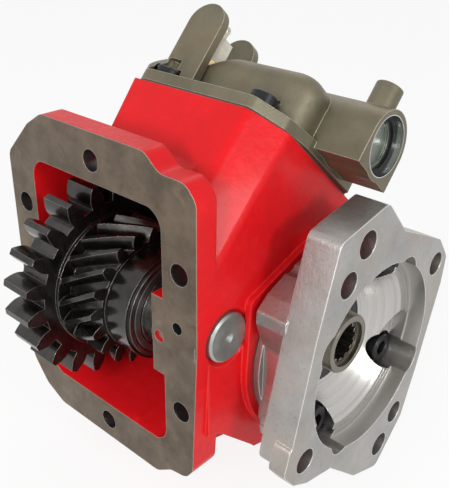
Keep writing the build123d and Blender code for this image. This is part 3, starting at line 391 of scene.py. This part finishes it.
def machined_iron(tree, place, colours):
    """Milled grey iron with old oil in its pores."""
    iron = colours.machined_iron
    blot = noise(tree, place, 42.0, detail=5.0, roughness=0.65)
    smear = noise(tree, place, 130.0, distortion=0.6)
    pale = noise(tree, place, 75.0, detail=4.0, roughness=0.65, distortion=0.4)
    tone = mottle(tree, blot, iron, 0.66, 1.20, low=0.35, high=0.68)
    tone = patch(tree, tone, smear, 0.55, 0.75, 0.45, IRON_OIL)
    tone = patch(tree, tone, pale, 0.60, 0.74, 0.5, shade(iron, 1.75))
    # Edges and hole rims lightened: partly worn iron, partly a painted highlight
    tone = mix_colour(tree, times(tree, edge_wear_and_highlight(tree, 0.0007), 0.7), tone, IRON_EDGE_WEAR_AND_HIGHLIGHT)
    fine = noise(tree, place, 2400.0, detail=2.0)
    skin = bump(tree, fine, distance=0.00005, strength=0.5, edge=0.0005)
    return principled(tree, tone, 0.75, window(tree, blot, 0.3, 0.7, 0.50, 0.34), skin)


def painted_casting(colours):
    """Red paint over sand-cast iron, bare on the mounting face and in its holes."""
    material, tree = start_material("painted_cast_iron")
    place = object_place(tree)
    patches = noise(tree, place, 38.0, detail=4.0)
    grain = noise(tree, place, 900.0)
    swell = noise(tree, place, 150.0, detail=2.0, roughness=0.5)
    specks = noise(tree, place, 520.0, detail=2.0, roughness=0.7)
    tone = mottle(tree, patches, colours.paint, 0.90, 1.06)
    tone = patch(tree, tone, specks, 0.70, 0.80, 0.35, PAINT_SPECK)
    tone = patch(tree, tone, swell, 0.62, 0.78, 0.4, PAINT_POOL)
    # Edges lightened towards pinkish red: partly worn paint, partly a painted highlight
    rubbed_and_highlit = times(tree, edge_wear_and_highlight(tree, 0.0011), window(tree, patches, 0.35, 0.6, 0.15, 0.55))
    tone = mix_colour(tree, rubbed_and_highlit, tone, PAINT_EDGE_WEAR_AND_HIGHLIGHT)
    height = plus(tree, times(tree, grain, 0.20), swell)
    skin = bump(tree, height, distance=colours.cast_grain, strength=0.75, edge=0.0014)
    dull = colours.paint_roughness
    rough = window(tree, grain, 0.3, 0.7, dull - 0.06, dull + 0.08)
    gloss = {"Specular IOR Level": 0.14, "Coat Weight": 0.10, "Coat Roughness": 0.10}
    paint = principled(tree, tone, 0.0, rough, skin, gloss)

    depth = split(tree, place)[1]
    on_face = below(tree, depth, MOUNT_FACE_Y + FACE_REACH)
    faced = mix_shaders(tree, on_face, paint, machined_iron(tree, place, colours))

    in_flange = below(tree, depth, FLANGE_BACK_Y + EDGE_REACH)
    behind_face = work_out(tree, "SUBTRACT", 1.0, on_face)
    drilled = times(tree, times(tree, flange_holes(tree, place), in_flange), behind_face)
    drill_marks = bump(tree, rings(tree, depth, 1400.0, 1.0), distance=0.0002, strength=0.8)
    # Bolt and dowel hole walls: bare drilled metal, darkened as painted shade in the holes
    wall = principled(tree, HOLE_WALL_PAINTED_SHADE, 0.9, 0.28, drill_marks)
    show(tree, mix_shaders(tree, drilled, faced, wall))
    return material


def bare_cover(colours):
    """Dull die-cast aluminium of the shift cover, with its cylinder bored bright."""
    material, tree = start_material("bare_cast_cover")
    place = object_place(tree)
    blot = noise(tree, place, 46.0, detail=5.0, roughness=0.62)
    grain = noise(tree, place, 1300.0)
    stain = noise(tree, place, 24.0)
    dirt = noise(tree, place, 240.0, roughness=0.7)
    tone = mottle(tree, blot, colours.cover_metal, 0.80, 1.16, low=0.32, high=0.68)
    tone = patch(tree, tone, stain, 0.45, 0.65, 0.35, COVER_STAIN)
    tone = patch(tree, tone, dirt, 0.62, 0.78, 0.40, COVER_DIRT)
    # Edges lightened: partly worn metal, partly a painted highlight
    tone = mix_colour(tree, edge_wear_and_highlight(tree, 0.0007), tone, COVER_EDGE_WEAR_AND_HIGHLIGHT)
    skin = bump(tree, grain, distance=colours.cast_grain * 0.35, strength=0.5, edge=0.0009)
    cast = principled(tree, tone, 0.66, window(tree, grain, 0.3, 0.7, 0.40, 0.52), skin)

    along, y, z = split(tree, place)
    in_bore = below(tree, off_centre(tree, y, z, (ROD_Y, ROD_Z)), CYLINDER_BORE + BORE_REACH)
    bored = times(tree, in_bore, above(tree, along, HONED_FROM_X))
    honing = bump(tree, rings(tree, along, 2600.0, 3.0), distance=0.00004, strength=0.5)
    honed = principled(tree, HONED_BORE, 1.0, 0.15, honing)
    show(tree, mix_shaders(tree, bored, cast, honed))
    return material


def bright_flange(colours):
    """Cast aluminium of the pump flange, with its bowl turned."""
    material, tree = start_material("machined_aluminium_flange")
    place = object_place(tree)
    metal = colours.flange_metal
    blot = noise(tree, place, 52.0, detail=5.0)
    grain = noise(tree, place, 1200.0)
    scuff = noise(tree, place, 210.0, detail=4.0, roughness=0.7, distortion=0.8)
    tint_and_reflection = noise(tree, place, 30.0)
    pits = noise(tree, place, 620.0, detail=2.0)
    tone = mottle(tree, blot, metal, 0.84, 1.12)
    tone = patch(tree, tone, scuff, 0.60, 0.74, 0.45, shade(metal, 0.60))
    # Warm brownish patches: partly the casting's tint, partly a painted reflection of the red housing
    tone = patch(tree, tone, tint_and_reflection, 0.48, 0.66, 0.40, FLANGE_TINT_AND_REFLECTION)
    tone = patch(tree, tone, pits, 0.60, 0.74, 0.45, shade(metal, 0.50))
    # Edges lightened towards white: partly worn metal, partly a painted highlight
    tone = mix_colour(tree, edge_wear_and_highlight(tree, 0.0008), tone, FLANGE_EDGE_WEAR_AND_HIGHLIGHT)
    lumps = plus(tree, grain, times(tree, noise(tree, place, 340.0), 1.4))
    skin = bump(tree, lumps, distance=colours.cast_grain * 0.45, strength=0.6, edge=0.0009)
    cast = principled(tree, tone, 0.90, window(tree, grain, 0.3, 0.7, 0.30, 0.42), skin)

    along, y, z = split(tree, place)
    off_axis = off_centre(tree, y, z, (OUTPUT_Y, OUTPUT_Z))
    marks = rings(tree, off_axis, 300.0, 4.0)
    grooves = bump(tree, marks, distance=0.00003, strength=0.25, edge=0.0006)
    turned_tone = mottle(tree, marks, metal, 1.20, 1.55)
    turned_rough = window(tree, marks, 0.3, 0.7, 0.24, 0.34)
    turned = principled(tree, turned_tone, 0.95, turned_rough, grooves)
    behind_face = below(tree, along, PUMP_FACE_X - EDGE_REACH)
    in_depth = times(tree, behind_face, above(tree, along, TURNED_FROM_X))
    in_bowl = times(tree, below(tree, off_axis, TURNED_RADIUS), in_depth)
    show(tree, mix_shaders(tree, in_bowl, cast, turned))
    return material


def oiled_steel(name, colour, roughness):
    """Dark gear steel under a film of oil, lightened along its edges as worn steel and painted highlight.
    """
    material, tree = start_material(name)
    place = object_place(tree)
    film = noise(tree, place, 90.0, detail=4.0)
    fine = noise(tree, place, 1500.0, detail=2.0)
    tone = mottle(tree, film, colour, 0.6, 1.5)
    # Tooth edges lightened: partly worn steel, partly a painted highlight
    tone = mix_colour(tree, edge_wear_and_highlight(tree, 0.0004), tone, GEAR_EDGE_WEAR_AND_HIGHLIGHT)
    skin = bump(tree, plus(tree, fine, film), distance=0.00010, strength=0.4, edge=0.0004)
    rough = window(tree, film, 0.3, 0.7, roughness - 0.07, roughness + 0.08)
    oil = {"Coat Weight": 0.30, "Coat Roughness": 0.06}
    show(tree, principled(tree, tone, 0.9, rough, skin, oil))
    return material


def plain_metal(name, colour, metallic, roughness, blotch=0.15):
    """Turned, ground or plated metal of the small pieces."""
    material, tree = start_material(name)
    place = object_place(tree)
    blot = noise(tree, place, 130.0, detail=4.0)
    fine = noise(tree, place, 2200.0, detail=2.0)
    tone = mottle(tree, blot, colour, 1 - blotch, 1 + blotch)
    # Edges lightened: partly worn metal, partly a painted highlight
    tone = mix_colour(tree, edge_wear_and_highlight(tree, 0.0003), tone, shade(colour, 1.9))
    skin = bump(tree, fine, distance=0.00004, strength=0.4, edge=0.0003)
    rough = window(tree, blot, 0.3, 0.7, roughness - 0.05, roughness + 0.06)
    show(tree, principled(tree, tone, metallic, rough, skin))
    return material


def turned_steel(name, colour, roughness, axis):
    """Steel turned about an axis along X, with fine rings on its end."""
    material, tree = start_material(name)
    place = object_place(tree)
    _, y, z = split(tree, place)
    marks = rings(tree, off_centre(tree, y, z, axis), 1500.0, 4.0)
    blot = noise(tree, place, 120.0, detail=4.0)
    tone = mottle(tree, marks, colour, 0.82, 1.20)
    tone = patch(tree, tone, blot, 0.45, 0.7, 0.4, shade(colour, 0.72))
    # Edges lightened: partly worn steel, partly a painted highlight
    tone = mix_colour(tree, edge_wear_and_highlight(tree, 0.0004), tone, shade(colour, 1.8))
    grooves = bump(tree, marks, distance=0.00006, strength=0.5, edge=0.0004)
    rough = window(tree, marks, 0.3, 0.7, roughness - 0.05, roughness + 0.07)
    show(tree, principled(tree, tone, 0.92, rough, grooves))
    return material


def moulded(name, colour, roughness, softness=0.0):
    """Nylon, rubber and gasket paper."""
    material, tree = start_material(name)
    place = object_place(tree)
    cloud = noise(tree, place, 220.0)
    fine = noise(tree, place, 1900.0, detail=2.0, roughness=0.5)
    tone = mottle(tree, cloud, colour, 0.88, 1.1)
    skin = bump(tree, fine, distance=0.00005, strength=0.4, edge=0.0004)
    rough = window(tree, cloud, 0.3, 0.7, roughness - 0.04, roughness + 0.06)
    soft = {"Subsurface Weight": softness, "Subsurface Scale": 0.002}
    show(tree, principled(tree, tone, 0.0, rough, skin, soft))
    return material


def dress(material, *nodes):
    """Give a material to every slot of the CAD nodes named."""
    for name in nodes:
        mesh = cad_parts[name].data
        mesh.materials.clear()
        mesh.materials.append(material)


def merged_copy(node):
    """A CAD node's mesh as a bmesh of its own, with its loose triangles joined."""
    copy = bmesh.new()
    copy.from_mesh(node.data)
    bmesh.ops.remove_doubles(copy, verts=copy.verts, dist=MERGE_DISTANCE)
    return copy


def new_piece(name, shape, material):
    """An object made from a bmesh, which is freed."""
    mesh = bpy.data.meshes.new(name)
    shape.to_mesh(mesh)
    shape.free()
    mesh.materials.append(material)
    piece = bpy.data.objects.new(name, mesh)
    bpy.context.scene.collection.objects.link(piece)
    return piece


def out_from_output(place):
    """The arm from the output shaft's line straight out to a place."""
    return Vector((0, place.y - OUTPUT_Y, place.z - OUTPUT_Z))


def left_wall_x(y, z):
    """Outer face of the wall that leans inwards below the shift cover."""
    down = COVER_HEIGHT - y * math.sin(COVER_TILT) - z * math.cos(COVER_TILT)
    return UPPER_LEFT_X + (LOWER_LEFT_X - UPPER_LEFT_X) * min(1.0, max(0.0, down / LEAN_DEPTH))


class PTO_OT_housing(Operator):
    """Paint the housing and leave its mounting face bare"""

    bl_idname = "pto.housing"
    bl_label = "Housing"

    def execute(self, context):
        dress(painted_casting(context.scene.pto_castings), "housing")
        return {"FINISHED"}


class PTO_OT_gear_room_wall(Operator):
    """Wall that closes the output gear's room behind the leaning left wall"""

    bl_idname = "pto.gear_room_wall"
    bl_label = "Gear room wall"

    def execute(self, context):
        wall = self.sweep(self.outline())
        bmesh.ops.recalc_face_normals(wall, faces=wall.faces)
        for vert in wall.verts:
            self.fit(vert)
        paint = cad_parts["housing"].data.materials[0]
        piece = new_piece("housing_gear_room_wall", wall, paint)
        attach(piece, "housing")
        return {"FINISHED"}

    def outline(self):
        """The wall and its sleeve cut across, as places along X and radii."""
        outer = LEFT_SWEEP_RADIUS - ROOM_WALL_INSET
        rim = GEAR_ROOM_RADIUS + ROOM_WALL_LAP
        return (
            (GEAR_ROOM_X - ROOM_SLEEVE_LAP, outer - ROOM_SLEEVE),
            (GEAR_ROOM_X - ROOM_SLEEVE_LAP, outer),
            (LOWER_LEFT_X, outer),
            (LOWER_LEFT_X, rim),
            (LOWER_LEFT_X + ROOM_WALL, rim),
            (LOWER_LEFT_X + ROOM_WALL, outer - ROOM_SLEEVE),
        )

    def sweep(self, outline):
        """Turn the outline about the output shaft's line, past both ends of the opening."""
        rim = max(radius for _, radius in outline)
        beyond = math.acos(LEFT_SWEEP_RADIUS / rim)
        start = LEFT_SWEEP_FROM - beyond
        turn = LEFT_SWEEP_TO + beyond - start
        wall = bmesh.new()
        corners = []
        for x, radius in outline:
            y = OUTPUT_Y + radius * math.cos(start)
            z = OUTPUT_Z + radius * math.sin(start)
            corners.append(wall.verts.new((x, y, z)))
        sides = [wall.edges.new(pair) for pair in zip(corners, corners[1:] + corners[:1])]
        bmesh.ops.spin(
            wall, geom=corners + sides, cent=(0, OUTPUT_Y, OUTPUT_Z), axis=(1, 0, 0),
            angle=turn, steps=ROOM_WALL_STEPS,
        )
        bmesh.ops.holes_fill(wall, edges=[edge for edge in wall.edges if edge.is_boundary])
        return wall

    def fit(self, vert):
        """Follow the left body's straight sides past its round end, and the wall's lean."""
        arm = out_from_output(vert.co)
        angle = math.atan2(arm.z, arm.y)
        past = max(0.0, LEFT_SWEEP_FROM - angle, angle - LEFT_SWEEP_TO)
        if arm.length < LEFT_SWEEP_RADIUS + ROOM_WALL_INSET:
            arm = arm / math.cos(past)
        y = OUTPUT_Y + arm.y
        z = OUTPUT_Z + arm.z
        shift = 0.0
        if vert.co.x > GEAR_ROOM_X:
            shift = left_wall_x(y, z) - LOWER_LEFT_X + ROOM_WALL_INSET
        vert.co = Vector((vert.co.x + shift, y, z))


class PTO_OT_shift_cover(Operator):
    """Bare casting of the shift cover and the pieces in its cylinder"""

    bl_idname = "pto.shift_cover"
    bl_label = "Shift cover"

    def execute(self, context):
        dress(bare_cover(context.scene.pto_castings), "shift_cover")
        cap = turned_steel(
            "turned_cap_steel", (0.25, 0.27, 0.24), roughness=0.32, axis=(ROD_Y, ROD_Z)
        )
        rod = plain_metal("ground_rod_steel", (0.42, 0.42, 0.41), metallic=0.95, roughness=0.22)
        wire = plain_metal("spring_wire", (0.16, 0.16, 0.165), metallic=0.9, roughness=0.30)
        # Near-black snap ring, darkened as painted shade for the groove it sits in
        ring = plain_metal("snap_ring_steel_painted_shade", (0.020, 0.020, 0.021), metallic=0.7, roughness=0.38)
        fork = plain_metal("forged_fork_steel", (0.18, 0.175, 0.17), metallic=0.85, roughness=0.45)
        dress(cap, "cylinder_cap", "piston")
        dress(rod, "shift_rod", "piston_nut", "fork_pin")
        dress(wire, "return_spring")
        dress(ring, "cylinder_snap_ring")
        dress(fork, "shift_fork")
        return {"FINISHED"}


class PTO_OT_pump_flange(Operator):
    """Bright aluminium of the pump flange"""

    bl_idname = "pto.pump_flange"
    bl_label = "Pump flange"

    def execute(self, context):
        dress(bright_flange(context.scene.pto_castings), "pump_flange")
        return {"FINISHED"}


class PTO_OT_gears(Operator):
    """Oiled gear steel of the cluster, output gear and collar"""

    bl_idname = "pto.gears"
    bl_label = "Gears"

    def execute(self, context):
        cluster = oiled_steel("oiled_gear_steel", (0.042, 0.039, 0.036), roughness=0.24)
        output = oiled_steel("output_gear_steel", (0.070, 0.066, 0.062), roughness=0.28)
        dress(cluster, "cluster_gear")
        dress(output, "output_gear", "clutch_collar")
        return {"FINISHED"}


class PTO_OT_shafts(Operator):
    """Steel of the two shafts, with the spacers, shims, bush, washer and rear cap"""

    bl_idname = "pto.shafts"
    bl_label = "Shafts"

    def execute(self, context):
        idler = plain_metal("idler_shaft_steel", (0.36, 0.39, 0.37), metallic=0.78, roughness=0.36)
        output = turned_steel(
            "output_shaft_steel", (0.21, 0.19, 0.16), roughness=0.26, axis=(OUTPUT_Y, OUTPUT_Z)
        )
        spacer = plain_metal(
            "spacer_steel", (0.13, 0.125, 0.118), metallic=0.9, roughness=0.28, blotch=0.35
        )
        shim = plain_metal("shim_steel", (0.42, 0.42, 0.41), metallic=0.9, roughness=0.30)
        bush = plain_metal("bush_bronze", (0.42, 0.25, 0.10), metallic=0.9, roughness=0.34)
        cap = plain_metal("rear_cap_iron", (0.20, 0.19, 0.18), metallic=0.8, roughness=0.46)
        dress(idler, "idler_shaft", "idler_lock_pin")
        dress(output, "output_shaft")
        dress(spacer, "idler_front_spacer", "rear_spacer")
        dress(shim, "idler_rear_shim", "rear_cap_shim")
        dress(bush, "output_gear_bush", "thrust_washer")
        dress(cap, "rear_cap")
        return {"FINISHED"}


class PTO_OT_shaft_nose(Operator):
    """Output shaft with its nose turned down in front of the seal"""

    bl_idname = "pto.shaft_nose"
    bl_label = "Output shaft nose"

    def execute(self, context):
        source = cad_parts["output_shaft"]
        shaft = merged_copy(source)
        for x in (NOSE_START_X, NOSE_START_X + NOSE_SHOULDER, NOSE_TIP_X):
            everything = shaft.verts[:] + shaft.edges[:] + shaft.faces[:]
            bmesh.ops.bisect_plane(
                shaft, geom=everything, plane_co=(x, 0, 0), plane_no=(1, 0, 0), dist=MERGE_DISTANCE,
            )
        for vert in shaft.verts:
            self.turn_down(vert)
        piece = new_piece("output_shaft_nose", shaft, source.data.materials[0])
        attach(piece, "output_shaft")
        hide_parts("output_shaft")
        return {"FINISHED"}

    def turn_down(self, vert):
        """Bring a point of the nose in to the nose's radius, and a step further at the tip."""
        past_cut = NOSE_SHOULDER / 2
        arm = out_from_output(vert.co)
        if vert.co.x < NOSE_START_X + past_cut or arm.length <= NOSE_RADIUS:
            return
        step = NOSE_TIP_STEP if vert.co.x > NOSE_TIP_X + past_cut else 0.0
        arm = arm.normalized() * (NOSE_RADIUS - step)
        vert.co = Vector((vert.co.x, OUTPUT_Y + arm.y, OUTPUT_Z + arm.z))


class PTO_OT_return_spring(Operator):
    """Return spring in the cylinder, as a piece of its own that rides on the housing"""

    bl_idname = "pto.return_spring"
    bl_label = "Return spring"

    def execute(self, context):
        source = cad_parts["return_spring"]
        piece = new_piece("return_spring_coil", merged_copy(source), source.data.materials[0])
        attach(piece, "housing")
        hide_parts("return_spring")
        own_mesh(piece)
        return {"FINISHED"}


class PTO_OT_bearings(Operator):
    """Ground races, polished rollers and pressed cages of the four bearings"""

    bl_idname = "pto.bearings"
    bl_label = "Bearings"

    def execute(self, context):
        race = plain_metal(
            "ground_race_steel", (0.24, 0.235, 0.225), metallic=0.95, roughness=0.20, blotch=0.30
        )
        roller = plain_metal(
            "polished_roller_steel", (0.52, 0.52, 0.53), metallic=0.96, roughness=0.16
        )
        cage = plain_metal("pressed_cage_steel", (0.20, 0.19, 0.18), metallic=0.9, roughness=0.34)
        for bearing in ("idler_front", "idler_rear", "output_front", "output_rear"):
            dress(race, f"{bearing}_cup", f"{bearing}_cone")
            dress(roller, f"{bearing}_rollers")
            dress(cage, f"{bearing}_cage")
        return {"FINISHED"}


class PTO_OT_screws(Operator):
    """Blackened screws of the cover, flange and rear cap"""

    bl_idname = "pto.screws"
    bl_label = "Screws"

    def execute(self, context):
        black = plain_metal(
            "blackened_screw_steel", (0.030, 0.031, 0.034), metallic=0.8, roughness=0.36
        )
        dress(black, "cover_screws", "pump_flange_screws", "rear_cap_screws")
        return {"FINISHED"}


class PTO_OT_seals(Operator):
    """Rubber seals, rings and paper gaskets"""

    bl_idname = "pto.seals"
    bl_label = "Seals and gaskets"

    def execute(self, context):
        rubber = moulded("seal_rubber", (0.022, 0.021, 0.020), roughness=0.50)
        paper = moulded("gasket_paper", (0.055, 0.050, 0.045), roughness=0.80)
        dress(rubber, "shaft_seal", "idler_seal_ring", "piston_ring", "cylinder_cap_ring")
        dress(paper, "cover_gasket", "pump_flange_gasket")
        return {"FINISHED"}


class PTO_OT_switch(Operator):
    """Brass body, nylon insulator and plated terminal of the indicator switch"""

    bl_idname = "pto.switch"
    bl_label = "Indicator switch"

    def execute(self, context):
        brass = plain_metal("switch_brass", (0.50, 0.38, 0.16), metallic=0.95, roughness=0.30)
        nylon = moulded("switch_nylon", (0.74, 0.70, 0.58), roughness=0.42, softness=0.1)
        plated = plain_metal("plated_terminal", (0.58, 0.54, 0.42), metallic=0.95, roughness=0.28)
        dress(brass, "switch_body")
        dress(nylon, "switch_insulator")
        dress(plated, "switch_terminal")
        return {"FINISHED"}


class PTO_OT_studio(Operator):
    """Pale floor, soft lamps and the camera at the photograph's angle"""

    bl_idname = "pto.studio"
    bl_label = "Studio"

    def execute(self, context):
        studio = context.scene.pto_studio
        self.lay_floor(studio)
        self.set_world(studio)
        for name, spot, width, share, colour in LAMPS:
            self.place_lamp(name, spot, width, studio.lamp_power * share, colour)
        self.set_camera(studio)
        return {"FINISHED"}

    def lay_floor(self, studio):
        material, tree = start_material("studio_floor")
        finish = {
            "Base Color": (*studio.floor_colour, 1.0), "Roughness": 0.85,
            "Specular IOR Level": 0.2,
        }
        matt = add(tree, "ShaderNodeBsdfPrincipled", None, finish)
        white = add(tree, "ShaderNodeEmission", None, {"Color": (*WHITE, 1.0), "Strength": 1.0})
        share = times(tree, self.seen_directly(tree), studio.floor_glow)
        show(tree, mix_shaders(tree, share, matt.outputs["BSDF"], white.outputs[0]))
        disc = bmesh.new()
        foot = Matrix.Translation((0, 0, CAD_LOW.z))
        bmesh.ops.create_circle(
            disc, cap_ends=True, radius=FLOOR_RADIUS, segments=64, matrix=foot,
        )
        floor = new_piece("studio_floor", disc, material)

    def set_world(self, studio):
        world = bpy.data.worlds.new("studio_world")
        bpy.context.scene.world = world
        world.use_nodes = True
        tree = world.node_tree
        tree.nodes.clear()
        sky = self.even_light(tree, studio.sky_light)
        white = self.even_light(tree, 1.0)
        shader = mix_shaders(tree, self.seen_directly(tree), sky, white)
        show(tree, shader, "ShaderNodeOutputWorld")

    def even_light(self, tree, strength):
        inputs = {"Color": (*WHITE, 1.0), "Strength": strength}
        return add(tree, "ShaderNodeBackground", None, inputs).outputs[0]

    def seen_directly(self, tree):
        """1 for what the camera sees, straight, mirrored or through glass."""
        path = add(tree, "ShaderNodeLightPath").outputs
        mirrored = plus(tree, path["Is Glossy Ray"], path["Is Transmission Ray"])
        return work_out(tree, "ADD", path["Is Camera Ray"], mirrored, clamp=True)

    def place_lamp(self, name, spot, width, power, colour):
        """A round lamp that shines at the middle of the unit."""
        data = bpy.data.lights.new(name, "AREA")
        data.shape = "DISK"
        data.size = width
        data.energy = power
        data.color = colour
        lamp = bpy.data.objects.new(name, data)
        bpy.context.scene.collection.objects.link(lamp)
        middle = (CAD_LOW + CAD_HIGH) / 2
        aim = (middle - Vector(spot)).to_track_quat("-Z", "Y")
        lamp.matrix_world = Matrix.Translation(spot) @ aim.to_matrix().to_4x4()

    def set_camera(self, studio):
        data = bpy.data.cameras.new("photo_camera")
        data.lens = studio.lens
        data.sensor_height = SENSOR_MM
        data.sensor_fit = "VERTICAL"
        data.clip_start = 0.01
        camera = bpy.data.objects.new("photo_camera", data)
        bpy.context.scene.collection.objects.link(camera)
        look = Vector(studio.camera_forward).to_track_quat("-Z", "Y").to_matrix().to_4x4()
        roll = Matrix.Rotation(studio.camera_roll, 4, "Z")
        camera.matrix_world = Matrix.Translation(studio.camera_place) @ look @ roll
        bpy.context.scene.camera = camera


class PTO_PT_panel(Panel):
    """Every piece of the unit, in the order it is dressed"""

    bl_idname = "PTO_PT_panel"
    bl_label = "Power take off unit"
    bl_space_type = "VIEW_3D"
    bl_region_type = "UI"
    bl_category = "Power take off"

    def draw(self, context):
        column = self.layout.column()
        for group in (context.scene.pto_castings, context.scene.pto_studio):
            for name in group.__annotations__:
                column.prop(group, name)
        for step in STEPS:
            column.operator(step.bl_idname)


STEPS = (
    PTO_OT_housing,
    PTO_OT_gear_room_wall,
    PTO_OT_shift_cover,
    PTO_OT_pump_flange,
    PTO_OT_gears,
    PTO_OT_shafts,
    PTO_OT_shaft_nose,
    PTO_OT_return_spring,
    PTO_OT_bearings,
    PTO_OT_screws,
    PTO_OT_seals,
    PTO_OT_switch,
    PTO_OT_studio,
)
CLASSES = (CastingColours, StudioSettings, *STEPS, PTO_PT_panel)


def register():
    for group in CLASSES:
        bpy.utils.register_class(group)
    bpy.types.Scene.pto_castings = PointerProperty(type=CastingColours)
    bpy.types.Scene.pto_studio = PointerProperty(type=StudioSettings)


def unregister():
    del bpy.types.Scene.pto_studio
    del bpy.types.Scene.pto_castings
    for group in reversed(CLASSES):
        bpy.utils.unregister_class(group)


def main():
    register()
    for scene in bpy.data.scenes:
        scene.view_settings.view_transform = "Standard"
    for step in STEPS:
        area, name = step.bl_idname.split(".")
        getattr(getattr(bpy.ops, area), name)()


if __name__ == "__main__":
    main()
